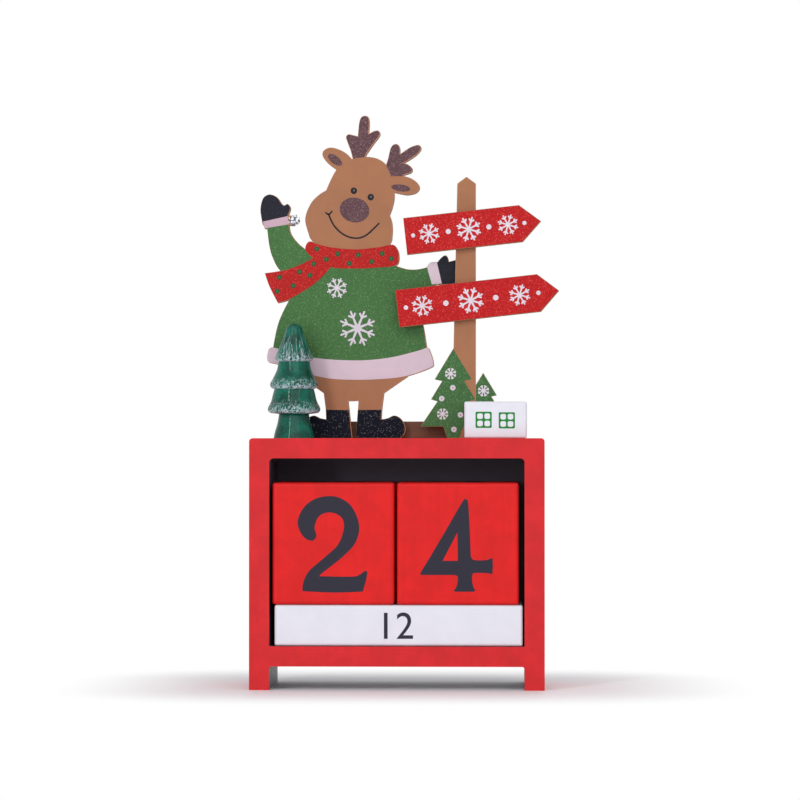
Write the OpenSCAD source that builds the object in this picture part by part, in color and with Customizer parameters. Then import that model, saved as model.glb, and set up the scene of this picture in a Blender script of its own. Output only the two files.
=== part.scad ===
// Countdown calendar: a box frame holds two number cubes and three month bars, and figures stand on top.
// X runs to the right, Y to the back and Z up. The feet stand on Z = 0.

/* [Number cubes] */
// Edge length of a number cube
cube_s = 35.2; // [28:0.1:45]
// Edge rounding of a number cube
cube_r = 1; // [0.4:0.1:2]
// Gap between the left side board and the left cube
cube_left_gap = 0.9; // [0.3:0.1:3]
// Gap between the two cubes
cube_mid_gap = 0.7; // [0.3:0.1:3]
// Gap between the right cube and the right side board
cube_right_gap = 1.6; // [0.3:0.1:4]
// Finger gap between the cubes and the top board
finger_gap = 7; // [5:0.1:15]

/* [Month bars] */
// Side of a month bar's square section
bar_s = 11.8; // [8:0.1:16]
// Edge rounding of a month bar
bar_r = 0.8; // [0.3:0.1:2]
// Gap between the left side board and the bars
bar_left_gap = 1.5; // [0.3:0.1:3]
// Gap between the bars and the right side board
bar_right_gap = 0.5; // [0.3:0.1:3]
// Gap between one bar and the next
bar_gap = 0.2; // [0.1:0.05:1]

/* [Frame] */
// Thickness of the red boards
board_t = 5.8; // [4:0.1:9]
// Rounding of the frame's upper outer corners
frame_r = 1; // [0.5:0.1:1.6]
// Height of the feet under the shelf
foot_h = 6.8; // [3:0.1:15]
// How far the cubes and bars sit behind the front edges
front_recess = 0.7; // [0.2:0.1:3]
// Gap between the cubes or bars and the back board
back_gap = 0.3; // [0.2:0.1:2]
// Running gap under the bars and under the cubes
slide_gap = 0.1; // [0.05:0.05:0.4]
// Thickness of the back board
back_t = 2; // [1.5:0.1:4]
// How far the back board stays inside the frame's outline
back_inset = 0.4; // [0.2:0.1:1]

/* [Brads and dowel] */
// Shank diameter of a brad
brad_d = 1.2; // [0.8:0.1:1.6]
// Head diameter of a brad
brad_head_d = 2; // [1.7:0.1:3]
// Head thickness of a brad
brad_head_t = 0.6; // [0.4:0.1:1]
// Length of the brads in the side boards
frame_brad_l = 14; // [11:0.5:20]
// Length of the brads in the back board
back_brad_l = 8; // [5:0.5:10]
// Radial clearance of a brad in its hole
brad_clear = 0.05; // [0.02:0.01:0.1]
// Distance from the back edges to the rear brads of the frame
brad_inset = 8; // [5:0.5:10]
// Distance of the outer back brads from the shelf and the top board
back_brad_inset = 12; // [8:0.5:18]
// Diameter of the dowel under the turned tree
dowel_d = 3; // [2:0.1:4]
// Length of the dowel
dowel_l = 8; // [6:0.5:9]
// Radial clearance of the dowel in its bores
dowel_clear = 0.05; // [0.02:0.01:0.1]

/* [Cut-out sheets] */
// Thickness of the reindeer and the signpost sheet
sheet_t = 3; // [2:0.1:5]
// Height of the reindeer from its boots to its antlers
reindeer_h = 94.5; // [75:0.5:120]
// Middle of the reindeer, to the right of the frame's middle
reindeer_x = -12.7; // [-14:0.1:-8]
// Height of the batten behind the boots
batten_h = 4.9; // [3:0.1:8]
// Depth of the batten
batten_d = 5; // [3:0.1:8]
// Length of the batten
batten_l = 53; // [40:0.5:60]
// Diameter of the snowflake on the raised cuff
flake_d = 3.5; // [2.5:0.1:5]
// Thickness of the snowflake
flake_t = 0.8; // [0.5:0.1:1.5]

/* [Signpost] */
// Height of the post
post_h = 76.3; // [60:0.5:100]
// Width of the post at its foot
post_foot_w = 7.1; // [5:0.1:9]
// Width of the post under its point
post_top_w = 5.4; // [4:0.1:8]
// Height of the post's point
post_point = 2; // [1:0.1:5]
// How far the reindeer's hand reaches behind the post
hand_lap = 2.6; // [1:0.1:4]
// Thickness of the arrow signs
sign_t = 2; // [1.5:0.1:4]
// Angle at which the signs rise to the right
sign_tilt = 6.3; // [0:0.1:10]
// Length of the upper sign with its point
upper_sign_l = 39.8; // [30:0.1:50]
// Width of the upper sign
upper_sign_w = 10.8; // [8:0.1:14]
// Height of the upper sign's middle, on a post of 77
upper_sign_h = 61.2; // [56:0.1:66]
// Length of the upper sign to the left of the post
upper_sign_left = 17.1; // [12:0.1:22]
// Length of the lower sign with its point
lower_sign_l = 47.4; // [35:0.1:55]
// Width of the lower sign
lower_sign_w = 11; // [8:0.1:14]
// Height of the lower sign's middle, on a post of 77
lower_sign_h = 40.2; // [34:0.1:44]
// Length of the lower sign to the left of the post
lower_sign_left = 19.4; // [14:0.1:24]
// Length of a sign's point
sign_point = 5.9; // [3:0.1:9]
// Height of the large flat tree
large_tree_h = 26.2; // [20:0.1:34]
// Middle of the large flat tree, to the left of the post's foot
large_tree_left = 3; // [1:0.1:5]
// Height of the small flat tree
small_tree_h = 19.1; // [14:0.1:24]
// Middle of the small flat tree, to the right of the post's foot
small_tree_right = 5.7; // [2:0.1:7]

/* [House and turned tree] */
// Width of the house block
house_w = 18.1; // [14:0.1:24]
// Height of the house block
house_h = 10.6; // [8:0.1:16]
// Depth of the house block
house_d = 10; // [8:0.1:12]
// Edge rounding of the house block
house_r = 0.6; // [0.2:0.1:1]
// Left face of the house block, to the left of the post's foot
house_left = -0.3; // [-2:0.1:4]
// Distance from the front edge of the top board to the house block
house_inset = 3; // [1:0.1:6]
// Height of the turned tree
turned_h = 33.3; // [26:0.1:40]
// Largest diameter of the turned tree
turned_d = 15.3; // [12:0.1:15.6]
// Gap between the turned tree and the reindeer
turned_gap = 0.3; // [0.2:0.1:1]
// Middle of the turned tree, from the left face of the frame
turned_x = 12.5; // [9:0.1:16]

/* [Hidden] */
$fn = 64;
corner_steps = 5;
curve_steps = 5;
bar_count = 3;

// Frame sizes that follow from the cubes and bars
inner_w = cube_left_gap + cube_s + cube_mid_gap + cube_s + cube_right_gap;
inner_h = slide_gap + bar_s + slide_gap + cube_s + finger_gap;
inner_d = max(bar_count * bar_s + (bar_count - 1) * bar_gap, cube_s) + back_gap;
frame_w = inner_w + 2 * board_t;
frame_d = front_recess + inner_d;
shelf_top = foot_h + board_t;
ceiling = shelf_top + inner_h;
frame_h = ceiling + board_t;
cube_z = shelf_top + slide_gap + bar_s + slide_gap;
cube_left_x = cube_left_gap - inner_w / 2;
bar_l = inner_w - bar_left_gap - bar_right_gap;
bar_x = bar_left_gap - inner_w / 2;

// Layers of the figures, from the front: house, signs on the signpost sheet, reindeer, batten
signpost_y = house_inset + house_d;
reindeer_y = signpost_y + sheet_t;
batten_y = reindeer_y + sheet_t;
turned_y = reindeer_y - turned_gap - turned_d / 2;

// Places of the brads and of the dowel
brad_ys = [turned_y + turned_d / 2, frame_d - brad_inset];
brad_zs = [shelf_top - board_t / 2, frame_h - board_t / 2];
side_mid_x = (frame_w - board_t) / 2;
back_brad_places = [
    for (x = [-side_mid_x, side_mid_x], z = [shelf_top + back_brad_inset, ceiling - back_brad_inset]) [x, z],
    for (z = brad_zs) [0, z],
];
dowel_half = dowel_l / 2;
turned_mid_x = turned_x - frame_w / 2;

// Outlines of the reindeer's parts, drawn for a height of 95.5 from the boots to the antlers.
// A row [x, y] is a corner, and a row [x, y, 1] is a point that the line passes in a smooth curve.
drawn_h = 95.5;
head = [
    [2.8, 83.3, 1], [6.2, 82.9, 1], [8.8, 81.4, 1], [10.2, 79.2, 1], [11.2, 76.5, 1], [11.7, 72, 1],
    [11.3, 69, 1], [10.3, 66], [11, 63.7, 1], [11.1, 60.5, 1], [10.3, 57.4, 1], [5.9, 54.3, 1],
    [-1.5, 53.7, 1], [-8.9, 54.9, 1], [-12.7, 58.3, 1], [-13.9, 60.8, 1], [-14.8, 65.2, 1], [-13.1, 69.6, 1],
    [-10.7, 72.1, 1], [-8.6, 73.4], [-5.5, 79.6, 1], [-1.2, 82.6, 1],
];
left_antler = [
    [-0.4, 81.3], [-1.3, 85, 1], [-2.3, 87.7, 1], [-2.7, 89.2, 1], [-2, 90, 1], [-0.8, 89.8, 1],
    [0.8, 89.4], [1.2, 93.4, 1], [1.8, 95, 1], [2.9, 95.5, 1], [4, 95, 1], [4.3, 93.5, 1], [4.1, 90.1],
    [5.5, 90.9, 1], [6.7, 91.1, 1], [7.4, 90.5, 1], [7.3, 89.5, 1], [6.2, 88, 1], [4.8, 86.1, 1],
    [3.2, 83.6, 1], [2.6, 81.3],
];
right_antler = [
    [8.9, 80.2], [9.7, 82.6, 1], [10.1, 84.3, 1], [10.5, 85.8, 1], [11.2, 86.8, 1], [12.3, 87.1, 1],
    [13.1, 86.5, 1], [13.4, 85.4, 1], [13.4, 84.1], [14.9, 85.2, 1], [16.8, 86.3, 1], [18.7, 86.8, 1],
    [19.6, 86.1, 1], [19.4, 85.1, 1], [18.1, 83.7, 1], [15.9, 82.2, 1], [14.4, 81.4], [15.5, 81.1, 1],
    [16.6, 80.3, 1], [17.1, 79.4, 1], [16.5, 78.5, 1], [14.9, 78], [13, 76.5], [10.4, 75.5],
];
left_ear = [
    [-0.9, 78.1], [-4.5, 78.9], [-7.3, 80.8, 1], [-9, 82.5, 1], [-9.7, 84, 1], [-9.2, 85.3, 1],
    [-7.3, 86.1, 1], [-4.5, 85.4, 1], [-2.2, 84, 1], [-0.4, 82],
];
right_ear = [
    [9.2, 77.4], [11.5, 77.7, 1], [14, 77.6, 1], [16.4, 77, 1], [18.3, 75.7, 1], [19.2, 74.2, 1],
    [18.3, 72.7, 1], [15.9, 72, 1], [13.4, 72.3, 1], [11, 72.9], [8.6, 73.6],
];
scarf = [
    [-14.8, 56.2, 1], [-14.3, 57.7, 1], [-13.2, 58.3, 1], [-11.2, 57.6, 1], [-6.9, 56.6, 1], [0, 56, 1],
    [6.8, 56.6, 1], [10.6, 57.3, 1], [12.2, 56.6, 1], [13.1, 54.2, 1], [12.3, 51.1, 1], [6.8, 50.3, 1],
    [-0.1, 50, 1], [-7.1, 50.4, 1], [-11.6, 52.6, 1], [-14.2, 54.8, 1],
];
scarf_tail = [
    [-6.5, 51.3], [-9.3, 47.9, 1], [-13, 44.8, 1], [-19.2, 41.1, 1], [-22.9, 40], [-25.4, 44.9, 1],
    [-26.8, 48.9], [-20.5, 49.9, 1], [-15.1, 52, 1], [-11, 54.3],
];
left_arm = [
    [-19.6, 64.1], [-19.3, 61.5, 1], [-18.4, 59.6, 1], [-16.7, 57.6, 1], [-14.4, 55.6, 1], [-11, 51.9],
    [-16.3, 47.2], [-20.5, 47.8], [-22.9, 50.4, 1], [-24.2, 52.9, 1], [-25.1, 55.4, 1], [-25.7, 58.6, 1],
    [-26.2, 63.2],
];
left_cuff = [[-27.5, 64.2], [-19.8, 65.9], [-19.4, 63.2], [-26.8, 62]];
left_mitten = [
    [-27.4, 63.2], [-28.1, 67.6, 1], [-27.4, 70.9, 1], [-26, 72.1, 1], [-24.5, 72.1, 1], [-22.9, 71.2, 1],
    [-21.8, 69.6, 1], [-21, 69, 1], [-20, 69.4, 1], [-19.1, 68.1, 1], [-20, 65.5],
];
flake_tab = [[-20.5, 65.8], [-18, 66, 1], [-16.5, 64.5, 1], [-18, 63, 1], [-20.5, 63.2]];
sweater = [
    [-11.6, 50.1], [-5.9, 54.9], [7.4, 54.9], [12.2, 51], [15.5, 50, 1], [18.9, 50, 1], [22.7, 51],
    [24.1, 45.1], [19.8, 43.3, 1], [18.3, 40.3, 1], [19.2, 37.1, 1], [20.4, 32.6, 1], [21.5, 25.8],
    [10.4, 21.6], [-13.4, 21.6], [-24.5, 25.8], [-23.2, 32.6, 1], [-21.4, 37.4, 1], [-18.1, 43.6],
];
right_cuff = [[21.2, 50.6], [22.3, 52, 1], [24.4, 52.1], [25.9, 45.6], [22.7, 45.3]];
right_mitten = [
    [23.8, 51.3], [25.4, 53.3, 1], [26.7, 54.1, 1], [27.5, 53.4, 1], [27.8, 52.2],
    [31.2, 53.1], [31.2, 45.4], [24.7, 45.4],
];
hem = [
    [-24.7, 26.9, 1], [-19.3, 25.6, 1], [-12.2, 23.9, 1], [-3.9, 23.2, 1], [3.7, 23.2, 1], [11.3, 24.1, 1],
    [18.9, 26, 1], [21.5, 26.8, 1], [22.5, 25.2, 1], [23.3, 22.2, 1], [22.4, 20.7, 1], [15.1, 18.2, 1],
    [7.5, 17.3, 1], [-0.1, 17.1, 1], [-7.6, 17.5, 1], [-14.9, 19.1, 1], [-22.8, 21.7, 1], [-25.7, 22.6, 1],
    [-26, 24.9, 1],
];
legs = [
    [16.5, 21], [15.7, 18.2], [8.6, 13.3], [8, 8.5], [7.7, 2.6], [0.5, 2.6], [1, 11],
    [-2, 10.9], [-1.1, 2.6], [-8.5, 2.6], [-8.7, 8.5], [-9.3, 13.3], [-16.4, 18.2], [-17.1, 21],
];
left_boot = [
    [-0.8, 0], [-14.1, 0], [-15.2, 1.2, 1], [-15.6, 3.3, 1], [-14.4, 5.6, 1], [-12.3, 6.7, 1],
    [-10.3, 5.9, 1], [-8.5, 5.6], [-8.7, 8.5], [-1.7, 8.4],
];
right_boot = [
    [0.8, 8.4], [8, 8.5], [7.8, 5.6], [9.6, 5.9, 1], [11.7, 6.7, 1], [13.7, 5.6, 1], [14.9, 3.3, 1],
    [14.6, 1.2, 1], [13.4, 0], [0.2, 0],
];
reindeer_lines = [
    sweater, legs, head, left_antler, right_antler, left_ear, right_ear, left_arm, left_mitten, left_cuff,
    flake_tab, right_mitten, right_cuff, hem, left_boot, right_boot, scarf_tail, scarf,
];
flake_place = [-18, 64.5];
drawn_hand_x = 31.2;
drawn_mitten_x = -28.1;
drawn_boot_x = -13;
reindeer_k = reindeer_h / drawn_h;

// Right half of a flat tree, from its tip to its foot, drawn for a height of 26.4
drawn_tree_h = 26.4;
top_tier = 17.3;
low_tier = 3.4;
half_tree = [
    [0, 26.4], [5.5, top_tier], [3.3, 16.8], [6.6, 11.4], [4.7, 10.8],
    [9.7, low_tier], [3, low_tier], [1.8, 0],
];

// Right half of the turned tree's section, drawn for a height of 33.4 and a diameter of 15.4
drawn_turned_h = 33.4;
drawn_turned_d = 15.4;
turned_section = [
    [0, 0], [0, 33.4], [1.3, 33.1, 1], [2.2, 32.3, 1], [2.6, 31, 1], [3.5, 28.5, 1], [4.5, 26.1, 1],
    [5.5, 23.6, 1], [5.4, 22.9, 1], [5, 22.5], [4.6, 22.3], [5, 20, 1], [6.1, 17.6, 1], [7, 15.9, 1],
    [6.9, 15, 1], [6.4, 14.5], [5.8, 14.3], [6.2, 12.8, 1], [6.7, 10.8, 1], [7.65, 8.8, 1], [7.5, 7.8, 1],
    [6.9, 7.3], [4.4, 7], [4.9, 4.2, 1], [5.6, 1.9, 1], [6, 0],
];

// Middle of the post's foot, behind which the reindeer's hand ends
post_x = reindeer_x + drawn_hand_x * reindeer_k - hand_lap + post_foot_w / 2;
post_lean = (post_foot_w - post_top_w) / 2;
drawn_post_h = 77;
post_k = post_h / drawn_post_h;

// The origin lies under the middle of everything
left_end = min(-frame_w / 2, reindeer_x + drawn_mitten_x * reindeer_k);
right_end = max(frame_w / 2, post_x + (lower_sign_l - lower_sign_left) * cos(sign_tilt));
middle_x = (left_end + right_end) / 2;
middle_y = (frame_d + back_t) / 2;

paint_red = [0.83, 0.19, 0.2];
cube_red = [0.86, 0.17, 0.17];
sign_red = [0.78, 0.13, 0.16];
bare_wood = [0.73, 0.52, 0.36];
sheet_brown = [0.7, 0.48, 0.33];
white_paint = [0.9, 0.9, 0.93];
black_paint = [0.12, 0.1, 0.12];
steel = [0.62, 0.62, 0.64];
silver = [0.8, 0.82, 0.86];
tree_green = [0.1, 0.36, 0.3];

// Direction of a smooth outline at point i, or nothing at a corner
function direction(line, i) =
    let (n = len(line), before = line[(i + n - 1) % n], after = line[(i + 1) % n])
    len(line[i]) < 3 ? [0, 0] : [after[0] - before[0], after[1] - before[1]] / 2;

// Point at share t of the curve from a to b, which leaves along da and arrives along db
function curve_point(a, b, da, db, t) =
    (2 * t * t * t - 3 * t * t + 1) * [a[0], a[1]] + (t * t * t - 2 * t * t + t) * da
    + (3 * t * t - 2 * t * t * t) * [b[0], b[1]] + (t * t * t - t * t) * db;

// Closed outline through the rows of a line, straight between two corners
function curve(line) = [
    for (i = [0:len(line) - 1])
        let (j = (i + 1) % len(line), straight = len(line[i]) < 3 && len(line[j]) < 3)
        for (step = [0:straight ? 0 : curve_steps - 1])
            curve_point(line[i], line[j], direction(line, i), direction(line, j), step / curve_steps)
];

// Rectangle with round corners
function round_rectangle(w, h, r) = [
    for (corner = [[w - r, h - r, 0], [r, h - r, 90], [r, r, 180], [w - r, r, 270]], step = [0:corner_steps])
        let (angle = corner[2] + 90 * step / corner_steps)
        [corner[0] + r * cos(angle), corner[1] + r * sin(angle)]
];

// Moves what is drawn from the front middle of the frame to the part's own origin
module placed() {
    translate([-middle_x, -middle_y, 0]) children();
}

// Stands a flat outline up as a sheet, with its front face at y and its foot on the top board
module stand_sheet(x, y, t) {
    translate([x, y + t, frame_h]) rotate([90, 0, 0]) linear_extrude(t) children();
}

// Block with all its edges rounded
module round_block(w, d, h, r) {
    intersection() {
        linear_extrude(h) polygon(round_rectangle(w, d, r));
        translate([0, d, 0]) rotate([90, 0, 0]) linear_extrude(d) polygon(round_rectangle(w, h, r));
        rotate([90, 0, 90]) linear_extrude(w) polygon(round_rectangle(d, h, r));
    }
}

// Brad that points up, with its head at the bottom, or the hole for it where room is given
module brad(length, room = 0) {
    translate([0, 0, -room]) cylinder(h = brad_head_t + 2 * room, d = brad_head_d + 2 * room);
    translate([0, 0, -room]) cylinder(h = length + 2 * room, d = brad_d + 2 * room);
}

module frame_brad_places() {
    for (side = [-1, 1], y = brad_ys, z = brad_zs)
        translate([side * frame_w / 2, y, z]) rotate([0, -90 * side, 0]) children();
}

module back_brad_places() {
    for (place = back_brad_places)
        translate([place[0], frame_d + back_t, place[1]]) rotate([90, 0, 0]) children();
}

module brad_holes() {
    frame_brad_places() brad(frame_brad_l, brad_clear);
    back_brad_places() brad(back_brad_l, brad_clear);
}

// Front outline of a side board, with a round upper outer corner
function side_outline(side) = concat(
    [[side * inner_w / 2, frame_h], [side * inner_w / 2, 0], [side * frame_w / 2, 0]],
    [
        for (step = [0:corner_steps])
            let (angle = 90 * step / corner_steps)
            [side * (frame_w / 2 - frame_r * (1 - cos(angle))), frame_h - frame_r * (1 - sin(angle))]
    ]
);

module side_board(side) {
    difference() {
        translate([0, frame_d, 0]) rotate([90, 0, 0]) linear_extrude(frame_d) polygon(side_outline(side));
        brad_holes();
    }
}

module left_side_board() {
    color(paint_red) placed() side_board(-1);
}

module right_side_board() {
    color(paint_red) placed() side_board(1);
}

module dowel_bore(z) {
    translate([turned_mid_x, turned_y, z])
        cylinder(h = dowel_half + dowel_clear, d = dowel_d + 2 * dowel_clear);
}

module top_board() {
    color(paint_red) placed() difference() {
        translate([-inner_w / 2, 0, ceiling]) cube([inner_w, frame_d, board_t]);
        brad_holes();
        dowel_bore(frame_h - dowel_half);
    }
}

module shelf_board() {
    color(paint_red) placed() difference() {
        translate([-inner_w / 2, 0, foot_h]) cube([inner_w, frame_d, board_t]);
        brad_holes();
    }
}

module back_board() {
    color(black_paint) placed() difference() {
        translate([back_inset - frame_w / 2, frame_d, foot_h])
            cube([frame_w - 2 * back_inset, back_t, frame_h - back_inset - foot_h]);
        brad_holes();
    }
}

module frame_brads() {
    color(steel) placed() frame_brad_places() brad(frame_brad_l);
}

module back_board_brads() {
    color(steel) placed() back_brad_places() brad(back_brad_l);
}

module number_cube(x) {
    color(cube_red) placed() translate([x, front_recess, cube_z]) round_block(cube_s, cube_s, cube_s, cube_r);
}

module left_number_cube() {
    number_cube(cube_left_x);
}

module right_number_cube() {
    number_cube(cube_left_x + cube_s + cube_mid_gap);
}

module month_bar(row) {
    color(white_paint) placed()
        translate([bar_x, front_recess + row * (bar_s + bar_gap), shelf_top + slide_gap])
            round_block(bar_l, bar_s, bar_s, bar_r);
}

module front_month_bar() {
    month_bar(0);
}

module middle_month_bar() {
    month_bar(1);
}

module rear_month_bar() {
    month_bar(2);
}

module reindeer_cutout() {
    color(sheet_brown) placed() stand_sheet(reindeer_x, reindeer_y, sheet_t)
        for (line = reindeer_lines) polygon(reindeer_k * curve(line));
}

// Eight arms with a hub, glued on the tab beside the cuff
module wrist_snowflake() {
    arm_w = flake_d / 9;
    hub_d = flake_d / 2;
    arms = 8;
    color(silver) placed()
        stand_sheet(reindeer_x + flake_place[0] * reindeer_k, reindeer_y - flake_t, flake_t)
            translate([0, flake_place[1] * reindeer_k]) {
                circle(d = hub_d);
                for (arm = [0:arms / 2 - 1])
                    rotate(360 / arms * (arm + 0.5)) square([flake_d, arm_w], center = true);
            }
}

module support_batten() {
    color(bare_wood) placed()
        translate([reindeer_x + drawn_boot_x * reindeer_k, batten_y, frame_h])
            cube([batten_l, batten_d, batten_h]);
}

module flat_tree(h) {
    k = h / drawn_tree_h;
    left_half = [for (i = [len(half_tree) - 1:-1:1]) [-half_tree[i][0], half_tree[i][1]]];
    polygon(k * concat(half_tree, left_half));
}

// Post with a tree on each side, and a web that closes the narrow gap beside the small tree's tiers
module signpost_cutout() {
    small_k = small_tree_h / drawn_tree_h;
    color(sheet_brown) placed() stand_sheet(post_x, signpost_y, sheet_t) {
        polygon([
            [-post_foot_w / 2, 0], [post_foot_w / 2 - post_top_w, post_h - post_point], [post_lean, post_h],
            [post_foot_w / 2, post_h - post_point], [post_foot_w / 2, 0],
        ]);
        translate([-large_tree_left, 0]) flat_tree(large_tree_h);
        translate([small_tree_right, 0]) flat_tree(small_tree_h);
        polygon([
            [0, small_k * low_tier], [0, small_k * top_tier],
            [small_tree_right, small_k * top_tier], [small_tree_right, small_k * low_tier],
        ]);
    }
}

// Arrow board that points to the right, with the post at its origin
module sign_board(h, left, length, w) {
    color(sign_red) placed() stand_sheet(post_x, signpost_y - sign_t, sign_t)
        translate([0, h * post_k]) rotate(sign_tilt)
            polygon([
                [-left, -w / 2], [length - left - sign_point, -w / 2], [length - left, 0],
                [length - left - sign_point, w / 2], [-left, w / 2],
            ]);
}

module upper_sign() {
    sign_board(upper_sign_h, upper_sign_left, upper_sign_l, upper_sign_w);
}

module lower_sign() {
    sign_board(lower_sign_h, lower_sign_left, lower_sign_l, lower_sign_w);
}

module house_block() {
    color(white_paint) placed()
        translate([post_x - house_left, house_inset, frame_h])
            round_block(house_w, house_d, house_h, house_r);
}

module turned_tree() {
    wide = turned_d / drawn_turned_d;
    tall = turned_h / drawn_turned_h;
    color(tree_green) placed() difference() {
        translate([turned_mid_x, turned_y, frame_h])
            rotate_extrude() polygon([for (p = curve(turned_section)) [wide * p[0], tall * p[1]]]);
        dowel_bore(frame_h - dowel_clear);
    }
}

module turned_tree_dowel() {
    color(bare_wood) placed()
        translate([turned_mid_x, turned_y, frame_h - dowel_half]) cylinder(h = dowel_l, d = dowel_d);
}

left_side_board();
right_side_board();
top_board();
shelf_board();
back_board();
frame_brads();
back_board_brads();
left_number_cube();
right_number_cube();
front_month_bar();
middle_month_bar();
rear_month_bar();
reindeer_cutout();
wrist_snowflake();
support_batten();
signpost_cutout();
upper_sign();
lower_sign();
house_block();
turned_tree();
turned_tree_dowel();
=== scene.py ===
"""Looks of a wooden countdown calendar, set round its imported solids.

The solids keep their places. This script paints them, prints the figures, and puts digits on the cubes,
numbers on the month bars and windows on the house as thin layers. Outlines are in millimetres.
"""

import math

import bmesh
import bpy
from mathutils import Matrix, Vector, geometry


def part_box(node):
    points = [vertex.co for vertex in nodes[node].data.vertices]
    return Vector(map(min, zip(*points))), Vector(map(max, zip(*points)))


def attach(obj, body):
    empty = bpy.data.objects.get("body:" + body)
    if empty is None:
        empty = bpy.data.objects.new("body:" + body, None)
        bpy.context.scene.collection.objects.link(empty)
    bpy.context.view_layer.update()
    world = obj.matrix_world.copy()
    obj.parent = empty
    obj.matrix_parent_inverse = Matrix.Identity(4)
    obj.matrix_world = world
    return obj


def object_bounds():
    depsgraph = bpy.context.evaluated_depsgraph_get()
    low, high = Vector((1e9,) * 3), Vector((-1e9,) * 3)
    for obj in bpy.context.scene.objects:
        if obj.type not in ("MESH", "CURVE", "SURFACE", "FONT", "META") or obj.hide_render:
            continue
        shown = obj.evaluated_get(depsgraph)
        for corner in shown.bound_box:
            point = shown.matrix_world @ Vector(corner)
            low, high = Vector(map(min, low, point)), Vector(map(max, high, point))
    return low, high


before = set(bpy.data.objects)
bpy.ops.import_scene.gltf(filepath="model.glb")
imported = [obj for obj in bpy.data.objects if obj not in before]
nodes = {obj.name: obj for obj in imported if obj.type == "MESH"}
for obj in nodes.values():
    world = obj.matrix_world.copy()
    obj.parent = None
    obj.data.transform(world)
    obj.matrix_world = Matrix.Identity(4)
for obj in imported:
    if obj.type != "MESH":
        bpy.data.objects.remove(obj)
cad_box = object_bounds()
MM = 0.001

# Outlines

MITRE_LIMIT = 1.6  # corners of an inset outline move by at most this many depths


def direction(rows, i):
    """Direction of a smooth outline at point i, or nothing at a corner."""
    if len(rows[i]) < 3:
        return Vector((0, 0))
    before, after = rows[i - 1], rows[(i + 1) % len(rows)]
    return Vector((after[0] - before[0], after[1] - before[1])) / 2


def curve_point(a, b, da, db, t):
    """Point at share t of the curve from a to b, which leaves along da and arrives along db."""
    a, b = Vector(a[:2]), Vector(b[:2])
    return (
        (2 * t**3 - 3 * t**2 + 1) * a
        + (t**3 - 2 * t**2 + t) * da
        + (3 * t**2 - 2 * t**3) * b
        + (t**3 - t**2) * db
    )


def curve(rows, steps=6):
    """Closed outline through rows: [x, y] is a corner, and [x, y, 1] is passed in a smooth curve."""
    points = []
    for i, a in enumerate(rows):
        j = (i + 1) % len(rows)
        count = 1 if len(a) < 3 and len(rows[j]) < 3 else steps
        for step in range(count):
            points.append(curve_point(a, rows[j], direction(rows, i), direction(rows, j), step / count))
    return points


def area(points):
    """Area inside an outline, below zero where it runs clockwise."""
    return sum(p.cross(q) for p, q in zip(points, points[1:] + points[:1])) / 2


def inset(points, depth):
    """Outline moved inwards by depth."""
    side = math.copysign(depth, area(points))
    moved = []
    for i, p in enumerate(points):
        into = (p - points[i - 1]).normalized()
        out = (points[(i + 1) % len(points)] - p).normalized()
        normal = Vector((-into.y - out.y, into.x + out.x))
        moved.append(p + normal.normalized() * side * min(2 / max(normal.length, 1), MITRE_LIMIT))
    return moved


def rotated(v, angle):
    """A flat vector turned by an angle in radians."""
    c, s = math.cos(angle), math.sin(angle)
    return Vector((v.x * c - v.y * s, v.x * s + v.y * c))


def ellipse(x, y, a, b, turn=0, count=32):
    """Ellipse round x, y with half axes a and b, turned by an angle in degrees."""
    points = []
    for i in range(count):
        angle = 2 * math.pi * i / count
        on_ring = Vector((a * math.cos(angle), b * math.sin(angle)))
        points.append(Vector((x, y)) + rotated(on_ring, math.radians(turn)))
    return points


def stroke(rows, width, steps=6, cap=5):
    """Outline of a line of that width through rows, all passed in one smooth curve, with round ends."""
    rows = [Vector(r) for r in rows]
    line = []
    for i in range(len(rows) - 1):
        before = rows[max(i - 1, 0)]
        after = rows[min(i + 2, len(rows) - 1)]
        da, db = (rows[i + 1] - before) / 2, (after - rows[i]) / 2
        for step in range(steps):
            line.append(curve_point(rows[i], rows[i + 1], da, db, step / steps))
    line.append(rows[-1])
    sides = []
    for i in range(len(line)):
        along = (line[min(i + 1, len(line) - 1)] - line[max(i - 1, 0)]).normalized()
        sides.append(Vector((-along.y, along.x)) * width / 2)
    left = [p + s for p, s in zip(line, sides)]
    right = [p - s for p, s in zip(line, sides)]
    turns = [math.pi * (k + 1) / (cap + 1) for k in range(cap)]
    end = [line[-1] + rotated(sides[-1], -t) for t in turns]
    start = [line[0] + rotated(-sides[0], -t) for t in turns]
    return left + end + right[::-1] + start


def round_rectangle(x0, y0, x1, y1, r, steps=5):
    """Rectangle with round corners."""
    points = []
    corners = ((x1 - r, y1 - r), (x0 + r, y1 - r), (x0 + r, y0 + r), (x1 - r, y0 + r))
    for quarter, (cx, cy) in enumerate(corners):
        for step in range(steps + 1):
            turn = math.pi / 2 * (quarter + step / steps)
            points.append(Vector((cx + r * math.cos(turn), cy + r * math.sin(turn))))
    return points


def star(half, hub, arms=8):
    """Outline of equal arms round a middle: half an arm as (along, side), and where two arms meet."""
    points = []
    for arm in range(arms):
        turn = 2 * math.pi * (arm + 0.5) / arms
        points.append(rotated(Vector((hub, 0)), turn - math.pi / arms))
        points += [rotated(Vector((along, -side)), turn) for along, side in half]
        points += [rotated(Vector((along, side)), turn) for along, side in reversed(half)]
    return points


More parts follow.
